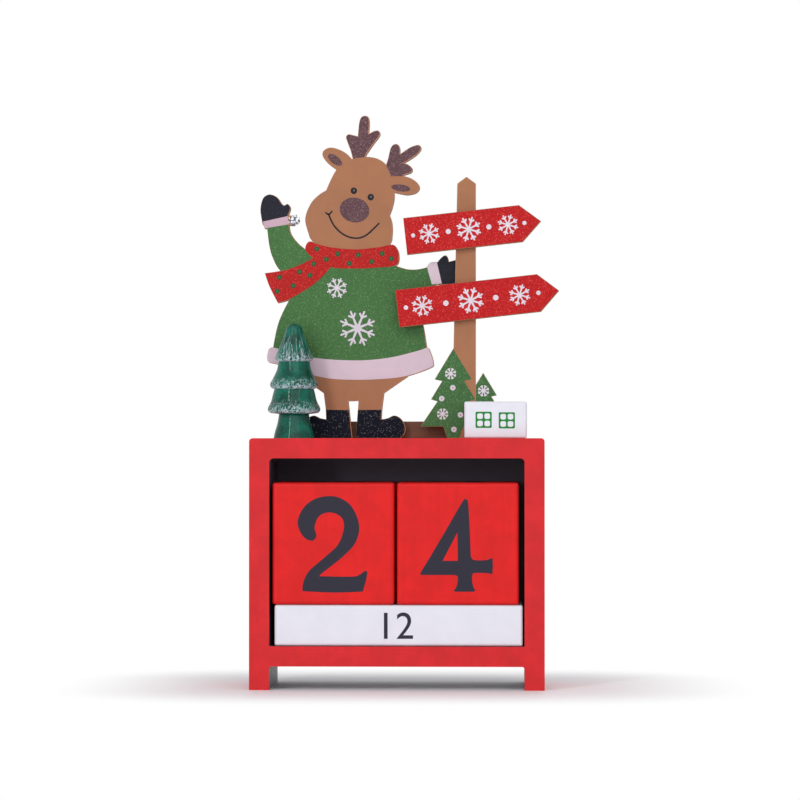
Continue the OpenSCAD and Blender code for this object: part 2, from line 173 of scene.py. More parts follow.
def snowflake(x, y, radius, line):
    """Outline of a snowflake whose arms each end in three prongs. The line's width is given."""
    barb_at, barb, hub = 0.58, 0.27, 0.19
    w = line / 2
    root = barb_at * radius
    reach = barb * radius * math.sqrt(0.5)
    across = line * math.sqrt(0.5)
    half = [
        (root, w),
        (root + reach, w + reach),
        (root + reach + across, w + reach - across),
        (root + 2 * across, w),
        (radius - w / 2, w),
        (radius, w / 2),
    ]
    return [p + Vector((x, y)) for p in star(half, hub * radius)]


def wheel_flake(x, y, radius):
    """Outline of a small snowflake whose arms spread at the rim until they nearly meet."""
    half = [(0.52, 0.09), (0.7, 0.14), (0.8, 0.25), (0.88, 0.28), (0.97, 0.18), (1.0, 0.07)]
    hub = 0.3
    return [Vector((x, y)) + radius * p for p in star(half, hub)]


def cut_left(points, x):
    """The part of an outline to the right of x."""
    kept = []
    for p, q in zip(points, points[1:] + points[:1]):
        if p.x >= x:
            kept.append(p)
        if (p.x - x) * (q.x - x) < 0:
            t = (x - p.x) / (q.x - p.x)
            kept.append(p + (q - p) * t)
    return kept


# Thin layers

SUNK = 0.012  # depth that a layer reaches into its face
FONT_WELD = 0.002


class Plane:
    """A flat face of a solid: origin and directions in metres, outlines in millimetres times a scale."""

    def __init__(self, origin, right, up, scale=1.0):
        self.origin, self.right, self.up = Vector(origin), Vector(right), Vector(up)
        self.out = self.right.cross(self.up)
        self.scale = scale

    def at(self, p, height):
        """Place of a flat point at a height over the face."""
        flat = (self.right * p[0] + self.up * p[1]) * self.scale
        return self.origin + (flat + self.out * height) * MM


def add_piece(name, mesh, material, body):
    """Puts a mesh into the scene as a piece that moves with a body."""
    mesh.materials.clear()
    mesh.materials.append(material)
    piece = bpy.data.objects.new(name, mesh)
    bpy.context.scene.collection.objects.link(piece)
    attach(piece, body)


def layer(name, shapes, plane, height, material, body="frame", sunk=SUNK):
    """Thin closed layer on a plane. Each shape is an outline, followed by the outlines of its holes."""
    build = bmesh.new()
    for loops in shapes:
        flat = [[Vector((p[0], p[1], 0)) for p in loop] for loop in loops]
        points = [p for loop in flat for p in loop]
        upper = [build.verts.new(plane.at(p, height)) for p in points]
        lower = [build.verts.new(plane.at(p, -sunk)) for p in points]
        for a, b, c in geometry.tessellate_polygon(flat):
            build.faces.new((upper[a], upper[b], upper[c]))
            build.faces.new((lower[c], lower[b], lower[a]))
        first = 0
        for loop in flat:
            for i in range(len(loop)):
                a, b = first + i, first + (i + 1) % len(loop)
                build.faces.new((upper[a], upper[b], lower[b], lower[a]))
            first += len(loop)
    bmesh.ops.recalc_face_normals(build, faces=build.faces)
    mesh = bpy.data.meshes.new(name)
    build.to_mesh(mesh)
    build.free()
    add_piece(name, mesh, material, body)


def number(name, text, height, plane, lift, material, body):
    """Plain number as a thin layer, centred on a plane."""
    font = bpy.data.curves.new(name, "FONT")
    font.body = text
    font.size = 1
    font.extrude = 0.5
    font.resolution_u = 6
    shape = bpy.data.objects.new(name + "_font", font)
    bpy.context.scene.collection.objects.link(shape)
    bpy.context.view_layer.update()
    mesh = bpy.data.meshes.new_from_object(shape.evaluated_get(bpy.context.evaluated_depsgraph_get()))
    bpy.data.objects.remove(shape)
    bpy.data.curves.remove(font)
    xs = [v.co.x for v in mesh.vertices]
    ys = [v.co.y for v in mesh.vertices]
    scale = height / (max(ys) - min(ys))
    middle = Vector(((max(xs) + min(xs)) / 2, (max(ys) + min(ys)) / 2))
    for v in mesh.vertices:
        v.co = plane.at((v.co.xy - middle) * scale, lift if v.co.z > 0 else -SUNK)
    build = bmesh.new()
    build.from_mesh(mesh)
    bmesh.ops.remove_doubles(build, verts=build.verts, dist=FONT_WELD * MM)
    bmesh.ops.recalc_face_normals(build, faces=build.faces)
    build.to_mesh(mesh)
    build.free()
    mesh.name = name
    add_piece(name, mesh, material, body)


# Materials


def tone(r, g, b):
    """Linear colour of an sRGB colour whose channels run from 0 to 255."""
    channels = [c / 255 for c in (r, g, b)]
    return tuple(((c + 0.055) / 1.055) ** 2.4 if c > 0.04 else c / 12.92 for c in channels) + (1,)


def shaded(color, k):
    """Colour made darker or lighter by a factor."""
    return tuple(min(c * k, 1) for c in color[:3]) + (1,)


class Paint:
    """A node material that is built up call by call."""

    def __init__(self, name, roughness, specular=0.22, coat=0.0, coat_roughness=0.15):
        self.material = bpy.data.materials.new(name)
        self.material.use_nodes = True
        self.tree = self.material.node_tree
        self.shader = self.tree.nodes["Principled BSDF"]
        self.shader.inputs["Roughness"].default_value = roughness
        self.shader.inputs["Specular IOR Level"].default_value = specular
        self.shader.inputs["Coat Weight"].default_value = coat
        self.shader.inputs["Coat Roughness"].default_value = coat_roughness
        self.coords = self.add("ShaderNodeTexCoord")
        self.object = self.coords.outputs["Object"]

    def add(self, kind, values=None, **settings):
        """New node with its settings, and with values or links on its inputs."""
        node = self.tree.nodes.new(kind)
        for key, value in settings.items():
            setattr(node, key, value)
        for socket, value in (values or {}).items():
            self.put(node.inputs[socket], value)
        return node

    def put(self, socket, value):
        """Links or sets an input."""
        if isinstance(value, bpy.types.NodeSocket):
            self.tree.links.new(value, socket)
        else:
            socket.default_value = value

    def set(self, name, value):
        """Links or sets an input of the shader."""
        self.put(self.shader.inputs[name], value)

    def math(self, operation, a, b=0.0):
        return self.add("ShaderNodeMath", {0: a, 1: b}, operation=operation).outputs[0]

    def vector(self, operation, a, b):
        return self.add("ShaderNodeVectorMath", {0: a, 1: b}, operation=operation).outputs[0]

    def mix(self, share, a, b):
        return self.add("ShaderNodeMix", {0: share, 6: a, 7: b}, data_type="RGBA").outputs[2]

    def stretched(self, x, y, z):
        """Object coordinates, with the pattern drawn out where the factor is small."""
        return self.add("ShaderNodeMapping", {"Vector": self.object, "Scale": (x, y, z)}).outputs[0]

    def noise(self, scale, detail=2.0, vector=None, roughness=0.5):
        values = {"Vector": vector or self.object, "Scale": scale, "Detail": detail, "Roughness": roughness}
        return self.add("ShaderNodeTexNoise", values).outputs[0]

    def span(self, value, low, high, start=0.0, end=1.0):
        """Smooth step of a value from start at low to end at high."""
        values = {0: value, 1: low, 2: high, 3: start, 4: end}
        return self.add("ShaderNodeMapRange", values, interpolation_type="SMOOTHSTEP").outputs[0]

    def bump(self, height, strength, distance, normal=None):
        values = {"Strength": strength, "Distance": distance, "Height": height}
        if normal is not None:
            values["Normal"] = normal
        return self.add("ShaderNodeBump", values).outputs[0]

    def split(self, vector):
        return self.add("ShaderNodeSeparateXYZ", {0: vector}).outputs


def edge_distance(paint, size):
    """Distance to the nearest edge of a box of that size, from the second nearest pair of faces."""
    place = paint.coords.outputs["Generated"]
    near = paint.vector("MINIMUM", place, paint.vector("SUBTRACT", (1, 1, 1), place))
    x, y, z = paint.split(paint.vector("MULTIPLY", near, tuple(size)))
    low, high = paint.math("MINIMUM", x, y), paint.math("MAXIMUM", x, y)
    return paint.math("MAXIMUM", low, paint.math("MINIMUM", high, z))


def brushed_color(paint, color, mottle, lines):
    """Colour of brushed paint: clouds, streaks along the lines and fine specks."""
    cloud = paint.noise(110, 4, roughness=0.6)
    streak = paint.noise(420, 4, lines, 0.62)
    speck = paint.noise(2600, 1)
    base = paint.mix(paint.span(cloud, 0.3, 0.7), shaded(color, 1 - mottle), shaded(color, 1 + mottle))
    base = paint.mix(paint.span(streak, 0.4, 0.75, 0.0, 0.5), base, shaded(color, 1 - 1.5 * mottle))
    return paint.mix(paint.span(speck, 0.62, 0.75, 0.0, 0.3), base, shaded(color, 1 + 2 * mottle))


def painted_block(name, node, color, worn_and_shaded, grain, roughness, wear_and_shade, mottle):
    """Brushed paint on a wooden block, with the grain showing through, and the edges darker from wear and
    from painted shade on their rounding.
    """
    low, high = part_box(node)
    paint = Paint(name, roughness)
    lines = paint.stretched(*[0.08 if axis == grain else 1 for axis in "xyz"])
    fibre = paint.noise(1500, 3, lines, 0.6)
    base = brushed_color(paint, color, mottle, lines)
    edge = edge_distance(paint, high - low)
    ragged = paint.math("ADD", edge, paint.math("MULTIPLY", paint.noise(700, 3), 0.9 * MM))
    # Darker edges: rubbed paint together with painted shade of the rounded edges.
    rubbed_and_shaded = paint.span(ragged, 0.4 * MM, 1.3 * MM, wear_and_shade, 0.0)
    paint.set("Base Color", paint.mix(rubbed_and_shaded, base, worn_and_shaded))
    paint.set("Roughness", paint.span(fibre, 0.3, 0.8, roughness - 0.06, roughness + 0.1))
    rough = paint.bump(paint.noise(1100, 2), 0.25, 0.06 * MM)
    paint.set("Normal", paint.bump(fibre, 0.3, 0.07 * MM, rough))
    return paint.material


def frame_paint(name, color, inside):
    """Red paint over the joined boards, and black on their inner faces behind a ragged front border; that
    black is made lighter as painted light in the dim recess.
    """
    left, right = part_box("left_side_board")[1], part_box("right_side_board")[0]
    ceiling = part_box("top_board")[0]
    reach = 0.05 * MM
    paint = Paint(name, 0.4)
    x, y, z = paint.split(paint.object)
    ragged = paint.math("MULTIPLY", paint.noise(500, 3), 0.9 * MM)
    depth = paint.math("SUBTRACT", paint.math("SUBTRACT", y, ceiling.y), ragged)
    mask = paint.span(depth, 0.0, 0.5 * MM)
    for value, low, high in ((x, left.x, right.x), (z, reach, ceiling.z)):
        over = paint.span(value, low - 2 * reach, low - reach)
        under = paint.span(value, high + reach, high + 2 * reach, 1.0, 0.0)
        mask = paint.math("MULTIPLY", mask, paint.math("MULTIPLY", over, under))
    base = brushed_color(paint, color, 0.1, paint.stretched(1, 1, 0.6))
    # Black of the inner faces, lifted as painted light.
    inside_painted_light = paint.mix(paint.noise(300, 3), shaded(inside, 0.7), shaded(inside, 1.3))
    paint.set("Base Color", paint.mix(mask, base, inside_painted_light))
    peel = paint.noise(1000, 3)
    paint.set("Roughness", paint.span(peel, 0.3, 0.7, 0.36, 0.5))
    paint.set("Normal", paint.bump(peel, 0.3, 0.08 * MM))
    return paint.material


def cut_sheet(name, face, edge, back):
    """Thin fibreboard with its own colours on the face, the cut edges and the back."""
    paint = Paint(name, 0.6)
    y = paint.split(paint.coords.outputs["Normal"])[1]
    cloud = paint.noise(120, 4)
    fine = paint.noise(2400, 2)
    front = paint.mix(paint.span(cloud, 0.3, 0.7), shaded(face, 0.95), shaded(face, 1.05))
    front = paint.mix(paint.span(fine, 0.5, 0.8, 0.0, 0.4), front, shaded(face, 0.84))
    fibre = paint.noise(1700, 4, paint.stretched(1, 0.35, 1), 0.7)
    rear = paint.mix(paint.span(fibre, 0.3, 0.75), shaded(back, 0.84), shaded(back, 1.14))
    layers = paint.noise(900, 3, paint.stretched(0.25, 3, 0.25), 0.65)
    side = paint.mix(paint.span(layers, 0.3, 0.7), shaded(edge, 0.65), shaded(edge, 1.35))
    color = paint.mix(paint.span(y, -0.8, -0.6, 1.0, 0.0), side, front)
    paint.set("Base Color", paint.mix(paint.span(y, 0.6, 0.8), color, rear))
    paint.set("Roughness", paint.span(fibre, 0.3, 0.8, 0.5, 0.7))
    paint.set("Normal", paint.bump(fine, 0.2, 0.06 * MM, paint.bump(layers, 0.15, 0.1 * MM)))
    return paint.material


def glitter_print(name, base, spark, size, share, tilt=0.22, roughness=0.5, metal=0.35, specular=0.2):
    """Print with fine flakes in it, of which a share catches the light. The size is in millimetres."""
    paint = Paint(name, roughness, specular)
    cells = paint.add("ShaderNodeTexVoronoi", {"Vector": paint.object, "Scale": 1 / (size * MM)})
    flake = cells.outputs["Color"]
    red, green, _ = paint.add("ShaderNodeSeparateColor", {0: flake}).outputs
    lit = paint.span(red, 1 - share - 0.02, 1 - share + 0.02)
    color = paint.mix(green, shaded(base, 0.84), shaded(base, 1.16))
    cloud = paint.noise(150, 3)
    color = paint.mix(paint.span(cloud, 0.3, 0.7, 0.0, 0.7), color, shaded(base, 0.9))
    paint.set("Base Color", paint.mix(lit, color, spark))
    paint.set("Metallic", paint.math("MULTIPLY", lit, metal))
    paint.set("Roughness", paint.span(lit, 0, 1, roughness, 0.28))
    lean = paint.vector("SUBTRACT", flake, (0.5, 0.5, 0.5))
    lean = paint.vector("MULTIPLY", lean, (tilt, tilt, tilt))
    flat = paint.add("ShaderNodeNewGeometry").outputs["Normal"]
    bent = paint.vector("ADD", flat, lean)
    paint.set("Normal", paint.add("ShaderNodeVectorMath", {0: bent}, operation="NORMALIZE").outputs[0])
    return paint.material


def flat_print(name, color, roughness, mottle=0.06):
    """Screen print: even colour with a fine mesh grain and a slight cloud."""
    paint = Paint(name, roughness)
    cloud = paint.noise(160, 3)
    grain = paint.noise(2800, 2)
    base = paint.mix(paint.span(cloud, 0.3, 0.7), shaded(color, 1 - mottle), shaded(color, 1 + mottle))
    base = paint.mix(paint.span(grain, 0.5, 0.8, 0.0, 0.4), base, shaded(color, 1 - 2 * mottle))
    paint.set("Base Color", base)
    paint.set("Roughness", paint.span(cloud, 0.3, 0.7, roughness - 0.06, roughness + 0.08))
    paint.set("Normal", paint.bump(grain, 0.2, 0.04 * MM))
    return paint.material


def raw_wood(name, color, grain):
    """Raw strip wood with open grain."""
    paint = Paint(name, 0.68)
    lines = paint.stretched(*[0.05 if axis == grain else 1 for axis in "xyz"])
    fibre = paint.noise(1300, 4, lines, 0.65)
    cloud = paint.noise(180, 3)
    base = paint.mix(paint.span(fibre, 0.3, 0.7), shaded(color, 0.74), shaded(color, 1.16))
    paint.set("Base Color", paint.mix(paint.span(cloud, 0.35, 0.7, 0.0, 0.5), base, shaded(color, 0.85)))
    paint.set("Roughness", paint.span(fibre, 0.3, 0.7, 0.6, 0.76))
    paint.set("Normal", paint.bump(fibre, 0.4, 0.12 * MM))
    return paint.material


def veins(paint, pattern, sharpness):
    """Thin lines where a noise passes through its middle."""
    off = paint.math("ABSOLUTE", paint.math("SUBTRACT", pattern, 0.5))
    return paint.span(off, 0.0, 1 / sharpness, 1.0, 0.0)


def turned_paint(name, node):
    """Green paint with a lace of white dry brush over each lip, and thin streaks up the top tier."""
    low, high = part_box(node)
    top_lip, middle_lip, low_lip, streak_reach = 22.2, 14.2, 7.1, 11
    paint = Paint(name, 0.45, specular=0.06, coat=0.32, coat_roughness=0.06)
    z = paint.split(paint.object)[2]
    cloud = paint.noise(260, 3)
    speck = paint.noise(1700, 2)
    base = paint.mix(paint.span(cloud, 0.3, 0.72), tone(0, 64, 49), tone(0, 106, 87))
    base = paint.mix(paint.span(speck, 0.55, 0.75, 0.0, 0.4), base, tone(32, 134, 118))
    lace = veins(paint, paint.noise(1300, 2, paint.stretched(1, 1, 0.55), 0.6), 15)
    dab = paint.noise(1300, 3, paint.stretched(1, 1, 0.6), 0.6)
    from_axis = paint.vector("SUBTRACT", paint.object, tuple((low + high) / 2))
    flat = paint.vector("MULTIPLY", from_axis, (1, 1, 0))
    around = paint.add("ShaderNodeVectorMath", {0: flat}, operation="NORMALIZE").outputs[0]
    drift = paint.vector("MULTIPLY", paint.object, (0, 0, 22))
    streaks = veins(paint, paint.noise(4.2, 2, paint.vector("ADD", around, drift)), 46)
    up = paint.math("DIVIDE", paint.math("SUBTRACT", z, low.z + top_lip * MM), streak_reach * MM)
    cover = paint.math("MULTIPLY", paint.span(up, 0.1, 1.0, 1.0, 0.0), paint.span(up, 0.0, 0.02))
    white = paint.math("MULTIPLY", streaks, cover)
    for lip, reach in ((top_lip, 3.4), (middle_lip, 3.9), (low_lip, 4.2)):
        up = paint.math("DIVIDE", paint.math("SUBTRACT", z, low.z + lip * MM), reach * MM)
        ragged = paint.math("ADD", up, paint.math("SUBTRACT", dab, 0.5))
        cover = paint.math("MULTIPLY", paint.span(ragged, 0.1, 1.0, 1.0, 0.0), paint.span(up, 0.0, 0.03))
        solid = paint.math("MULTIPLY", paint.span(dab, 0.47, 0.55), paint.span(up, 0.12, 0.35, 1.0, 0.0))
        brushed = paint.math("MULTIPLY", cover, paint.math("MAXIMUM", lace, solid))
        white = paint.math("MAXIMUM", white, brushed)
    paint.set("Base Color", paint.mix(paint.math("MULTIPLY", white, 0.86), base, tone(212, 228, 238)))
    paint.set("Roughness", paint.span(white, 0.0, 0.7, 0.4, 0.6))
    paint.set("Normal", paint.bump(white, 0.3, 0.1 * MM, paint.bump(speck, 0.8, 0.3 * MM)))
    paint.set("Coat Normal", paint.bump(paint.noise(1100, 3), 1.0, 0.02 * MM))
    return paint.material


def steel_paint(name):
    """Drawn steel with fine scratches."""
    paint = Paint(name, 0.35)
    paint.set("Metallic", 1.0)
    scratch = paint.noise(2600, 3, paint.stretched(1, 0.2, 1), 0.6)
    paint.set("Base Color", paint.mix(scratch, tone(128, 128, 132), tone(186, 186, 190)))
    paint.set("Roughness", paint.span(scratch, 0.3, 0.7, 0.25, 0.5))
    return paint.material


def soften(node, width):
    """Eases the cut edges of a sheet. The width is in millimetres."""
    weld = nodes[node].modifiers.new("weld", "WELD")
    weld.merge_threshold = 0.001 * MM
    bevel = nodes[node].modifiers.new("bevel", "BEVEL")
    bevel.width = width * MM
    bevel.segments = 2
    bevel.limit_method = "ANGLE"
    bevel.angle_limit = math.radians(60)
    bevel.use_clamp_overlap = False


def paint_node(node, material):
    """Puts one material on a solid."""
    nodes[node].data.materials.clear()
    nodes[node].data.materials.append(material)


FRAME_RED = tone(213, 37, 42)
CUBE_RED = tone(223, 25, 25)
# Edge colour of the cubes: darker from wear and from painted shade of the rounded edges.
WORN_AND_SHADED_RED = tone(196, 34, 34)
BROWN = tone(168, 114, 82)
# Face colour of the cut sheets, lighter than the printed brown. It shows as a thin rim round the prints: a
# painted highlight for the light caught on the cut edges.
RIM_HIGHLIGHT_BROWN = tone(186, 132, 98)
SIGN_RIM = tone(150, 98, 68)
CUT_BROWN = tone(122, 76, 52)
RAW_BROWN = tone(150, 108, 78)
# Raw wood of the batten, darker than the other raw wood as painted shade for its place behind the cut-outs.
SHADED_BATTEN_BROWN = tone(116, 78, 62)
DOWEL_BROWN = tone(170, 128, 92)
SIGN_RED = tone(186, 8, 14)
SCARF_RED = tone(180, 16, 15)
SWEATER_GREEN = tone(64, 109, 58)
TREE_GREEN = tone(62, 106, 58)
NAVY = tone(18, 18, 34)
MAROON = tone(91, 61, 66)
WHITE = tone(232, 233, 243)
# Edge colour of the bars and house: darker from wear and from painted shade of the rounded edges.
WORN_AND_SHADED_WHITE = tone(212, 208, 214)
SILVER = tone(112, 116, 126)
SPARK_WHITE = tone(244, 246, 250)
# Black of the frame's inner faces and the back board's front, made lighter than the black on the back as
# painted light in the recess.
INSIDE_BLACK_PAINTED_LIGHT = tone(104, 95, 107)
BACK_EDGE = tone(70, 60, 58)
BACK_BLACK = tone(46, 42, 48)
SHEET_EASE = 0.08

# Paint on the solids

red_paint = frame_paint("frame_red", FRAME_RED, INSIDE_BLACK_PAINTED_LIGHT)
for node in ("left_side_board", "right_side_board", "top_board", "shelf_board"):
    paint_node(node, red_paint)
for node in ("left_number_cube", "right_number_cube"):
    cube_paint = painted_block(
        node + "_red", node, CUBE_RED, WORN_AND_SHADED_RED, grain="z", roughness=0.42, wear_and_shade=0.3, mottle=0.09
    )
    paint_node(node, cube_paint)
for node in ("front_month_bar", "middle_month_bar", "rear_month_bar", "house_block"):
    white_paint = painted_block(
        node + "_white", node, WHITE, WORN_AND_SHADED_WHITE, grain="x", roughness=0.45, wear_and_shade=0.25, mottle=0.02
    )
    paint_node(node, white_paint)
# The back board's front takes the lighter inside black: a painted-light copy of the darker black on its back.
paint_node("back_board", cut_sheet("back_board_lit_front", INSIDE_BLACK_PAINTED_LIGHT, BACK_EDGE, BACK_BLACK))
sheet_brown = cut_sheet("sheet_brown", RIM_HIGHLIGHT_BROWN, CUT_BROWN, RAW_BROWN)
sign_brown = cut_sheet("sign_brown", SIGN_RIM, CUT_BROWN, RAW_BROWN)
for node, material in (
    ("reindeer_cutout", sheet_brown),
    ("signpost_cutout", sheet_brown),
    ("upper_sign", sign_brown),
    ("lower_sign", sign_brown),
):
    paint_node(node, material)
    soften(node, SHEET_EASE)
paint_node("support_batten", raw_wood("batten_wood_shaded", SHADED_BATTEN_BROWN, "x"))
paint_node("turned_tree_dowel", raw_wood("dowel_wood", DOWEL_BROWN, "z"))
brad_steel = steel_paint("brad_steel")
paint_node("frame_brads", brad_steel)
paint_node("back_board_brads", brad_steel)
silver_paint = glitter_print("silver", SILVER, SPARK_WHITE, 0.34, 0.4, tilt=0.9, roughness=0.3, metal=0.8)
paint_node("wrist_snowflake", silver_paint)
paint_node("turned_tree", turned_paint("turned_green", "turned_tree"))

# Prints

body_print = flat_print("body_print", BROWN, 0.58, 0.05)
scarf_print = glitter_print("scarf_print", SCARF_RED, tone(208, 68, 62), 0.17, 0.08)
sweater_print = glitter_print("sweater_print", SWEATER_GREEN, tone(104, 138, 90), 0.17, 0.07)
trim_print = flat_print("trim_print", tone(216, 193, 206), 0.6, 0.04)
# Two copies of the cuffs' trim colour: the left one is darker as painted shade, and the right one is lighter
# as painted light.
left_cuff_painted_shade = flat_print("left_cuff_painted_shade", tone(200, 168, 182), 0.6, 0.04)
right_cuff_painted_light = flat_print("right_cuff_painted_light", tone(228, 208, 220), 0.6, 0.04)
navy_print = glitter_print("navy_print", NAVY, tone(52, 54, 66), 0.2, 0.03)
boot_print = glitter_print(
    "boot_print", tone(4, 10, 28), tone(114, 108, 107), 0.17, 0.035, tilt=0.2, specular=0.1
)
antler_print = glitter_print("antler_print", MAROON, tone(124, 98, 104), 0.17, 0.14)
tab_print = glitter_print(
    "tab_print", tone(70, 72, 82), SPARK_WHITE, 0.4, 0.45, tilt=0.9, roughness=0.3, metal=0.8
)
ink_print = flat_print("ink_print", tone(39, 38, 52), 0.5)
eye_print = flat_print("eye_print", tone(12, 14, 22), 0.4)
glint_print = flat_print("glint_print", tone(112, 104, 100), 0.4, 0.04)
dot_print = flat_print("dot_print", tone(34, 78, 44), 0.55)
dot_middle_print = flat_print("dot_middle_print", tone(62, 116, 64), 0.55)
flake_print = flat_print("flake_print", tone(220, 210, 220), 0.55, 0.05)
pink_print = flat_print("pink_print", tone(186, 146, 160), 0.55, 0.05)
tree_print = glitter_print("tree_print", TREE_GREEN, tone(108, 140, 96), 0.18, 0.08)
sign_print = glitter_print("sign_print", SIGN_RED, tone(210, 68, 64), 0.17, 0.09)
ornament_print = flat_print("ornament_print", tone(226, 216, 226), 0.5, 0.04)
window_print = flat_print("window_print", tone(24, 130, 42), 0.45)

# Prints on the reindeer, drawn at their own height round a point that lies this far from the left

REINDEER_LEFT = 28.1
REINDEER_H, DRAWN_H = 94.5, 95.5
REINDEER_K = REINDEER_H / DRAWN_H
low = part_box("reindeer_cutout")[0]
PRINT_SHIFT = Vector((-0.08, 0, 0.05)) * MM
foot = low + Vector((REINDEER_LEFT * REINDEER_K * MM, 0, 0))
reindeer = Plane(foot + PRINT_SHIFT, (1, 0, 0), (0, 0, 1), REINDEER_K)

HEAD = [
    [2.8, 83.3, 1], [6.2, 82.9, 1], [8.8, 81.4, 1], [10.2, 79.2, 1], [11.2, 76.5, 1], [11.7, 72, 1],
    [11.3, 69, 1], [10.3, 66], [11, 63.7, 1], [11.1, 60.5, 1], [10.3, 57.4, 1], [5.9, 54.3, 1],
    [-1.5, 53.7, 1], [-8.9, 54.9, 1], [-12.7, 58.3, 1], [-13.9, 60.8, 1], [-14.8, 65.2, 1], [-13.1, 69.6, 1],
    [-10.7, 72.1, 1], [-8.6, 73.4], [-5.5, 79.6, 1], [-1.2, 82.6, 1],
]
LEFT_ANTLER = [
    [-0.4, 81.3], [-1.3, 85, 1], [-2.3, 87.7, 1], [-2.7, 89.2, 1], [-2, 90, 1], [-0.8, 89.8, 1],
    [0.8, 89.4], [1.2, 93.4, 1], [1.8, 95, 1], [2.9, 95.5, 1], [4, 95, 1], [4.3, 93.5, 1], [4.1, 90.1],
    [5.5, 90.9, 1], [6.7, 91.1, 1], [7.4, 90.5, 1], [7.3, 89.5, 1], [6.2, 88, 1], [4.8, 86.1, 1],
    [3.2, 83.6, 1], [2.6, 81.3],
]
RIGHT_ANTLER = [
    [8.9, 80.2], [9.7, 82.6, 1], [10.1, 84.3, 1], [10.5, 85.8, 1], [11.2, 86.8, 1], [12.3, 87.1, 1],
    [13.1, 86.5, 1], [13.4, 85.4, 1], [13.4, 84.1], [14.9, 85.2, 1], [16.8, 86.3, 1], [18.7, 86.8, 1],
    [19.6, 86.1, 1], [19.4, 85.1, 1], [18.1, 83.7, 1], [15.9, 82.2, 1], [14.4, 81.4], [15.5, 81.1, 1],
    [16.6, 80.3, 1], [17.1, 79.4, 1], [16.5, 78.5, 1], [14.9, 78], [13, 76.5], [10.4, 75.5],
]
LEFT_EAR = [
    [-0.9, 78.1], [-4.5, 78.9], [-7.3, 80.8, 1], [-9, 82.5, 1], [-9.7, 84, 1], [-9.2, 85.3, 1],
    [-7.3, 86.1, 1], [-4.5, 85.4, 1], [-2.2, 84, 1], [-0.4, 82],
]
RIGHT_EAR = [
    [9.2, 77.4], [11.5, 77.7, 1], [14, 77.6, 1], [16.4, 77, 1], [18.3, 75.7, 1], [19.2, 74.2, 1],
    [18.3, 72.7, 1], [15.9, 72, 1], [13.4, 72.3, 1], [11, 72.9], [8.6, 73.6],
]
SCARF = [
    [-14.8, 56.2, 1], [-14.3, 57.7, 1], [-13.2, 58.3, 1], [-11.2, 57.6, 1], [-6.9, 56.6, 1], [0, 56, 1],
    [6.8, 56.6, 1], [10.6, 57.3, 1], [12.2, 56.6, 1], [13.1, 54.2, 1], [12.3, 51.1, 1], [6.8, 50.3, 1],
    [-0.1, 50, 1], [-7.1, 50.4, 1], [-11.6, 52.6, 1], [-14.2, 54.8, 1],
]
SCARF_TAIL = [
    [-6.5, 51.3], [-9.3, 47.9, 1], [-13, 44.8, 1], [-19.2, 41.1, 1], [-22.9, 40], [-25.4, 44.9, 1],
    [-26.8, 48.9], [-20.5, 49.9, 1], [-15.1, 52, 1], [-11, 54.3],
]
LEFT_ARM = [
    [-19.6, 64.1], [-19.3, 61.5, 1], [-18.4, 59.6, 1], [-16.7, 57.6, 1], [-14.4, 55.6, 1], [-11, 51.9],
    [-16.3, 47.2], [-20.5, 47.8], [-22.9, 50.4, 1], [-24.2, 52.9, 1], [-25.1, 55.4, 1], [-25.7, 58.6, 1],
    [-26.2, 63.2],
]
LEFT_CUFF = [[-27.5, 64.2], [-19.8, 65.9], [-19.4, 63.2], [-26.8, 62]]
LEFT_MITTEN = [
    [-27.4, 63.2], [-28.1, 67.6, 1], [-27.4, 70.9, 1], [-26, 72.1, 1], [-24.5, 72.1, 1], [-22.9, 71.2, 1],
    [-21.8, 69.6, 1], [-21, 69, 1], [-20, 69.4, 1], [-19.1, 68.1, 1], [-20, 65.5],
]
SWEATER = [
    [-11.6, 50.1], [-5.9, 54.9], [7.4, 54.9], [12.2, 51], [15.5, 50, 1], [18.9, 50, 1], [22.7, 51],
    [24.1, 45.1], [19.8, 43.3, 1], [18.3, 40.3, 1], [19.2, 37.1, 1], [20.4, 32.6, 1], [21.5, 25.8],
    [10.4, 21.6], [-13.4, 21.6], [-24.5, 25.8], [-23.2, 32.6, 1], [-21.4, 37.4, 1], [-18.1, 43.6],
]
RIGHT_CUFF = [[21.2, 50.6], [22.3, 52, 1], [24.4, 52.1], [25.9, 45.6], [22.7, 45.3]]
RIGHT_MITTEN = [
    [23.8, 51.3], [25.4, 53.3, 1], [26.7, 54.1, 1], [27.5, 53.4, 1], [27.8, 52.2],
    [31.2, 53.1], [31.2, 45.4], [24.7, 45.4],
]
HEM = [
    [-24.7, 26.9, 1], [-19.3, 25.6, 1], [-12.2, 23.9, 1], [-3.9, 23.2, 1], [3.7, 23.2, 1], [11.3, 24.1, 1],
    [18.9, 26, 1], [21.5, 26.8, 1], [22.5, 25.2, 1], [23.3, 22.2, 1], [22.4, 20.7, 1], [15.1, 18.2, 1],
    [7.5, 17.3, 1], [-0.1, 17.1, 1], [-7.6, 17.5, 1], [-14.9, 19.1, 1], [-22.8, 21.7, 1], [-25.7, 22.6, 1],
    [-26, 24.9, 1],
]
LEGS = [
    [16.5, 21], [15.7, 18.2], [8.6, 13.3], [8, 8.5], [7.7, 2.6], [0.5, 2.6], [1, 11],
    [-2, 10.9], [-1.1, 2.6], [-8.5, 2.6], [-8.7, 8.5], [-9.3, 13.3], [-16.4, 18.2], [-17.1, 21],
]
LEFT_BOOT = [
    [-0.8, -0.1], [-14.1, -0.1], [-15.2, 1.2, 1], [-15.6, 3.3, 1], [-14.4, 5.6, 1], [-12.3, 6.7, 1],
    [-10.3, 5.9, 1], [-8.5, 5.6], [-8.7, 8.5], [-1.7, 8.4],
]
RIGHT_BOOT = [
    [0.8, 8.4], [8, 8.5], [7.8, 5.6], [9.6, 5.9, 1], [11.7, 6.7, 1], [13.7, 5.6, 1], [14.9, 3.3, 1],
    [14.6, 1.2, 1], [13.4, -0.1], [0.2, -0.1],
]
LAYER = 0.02  # thickness of one print over another
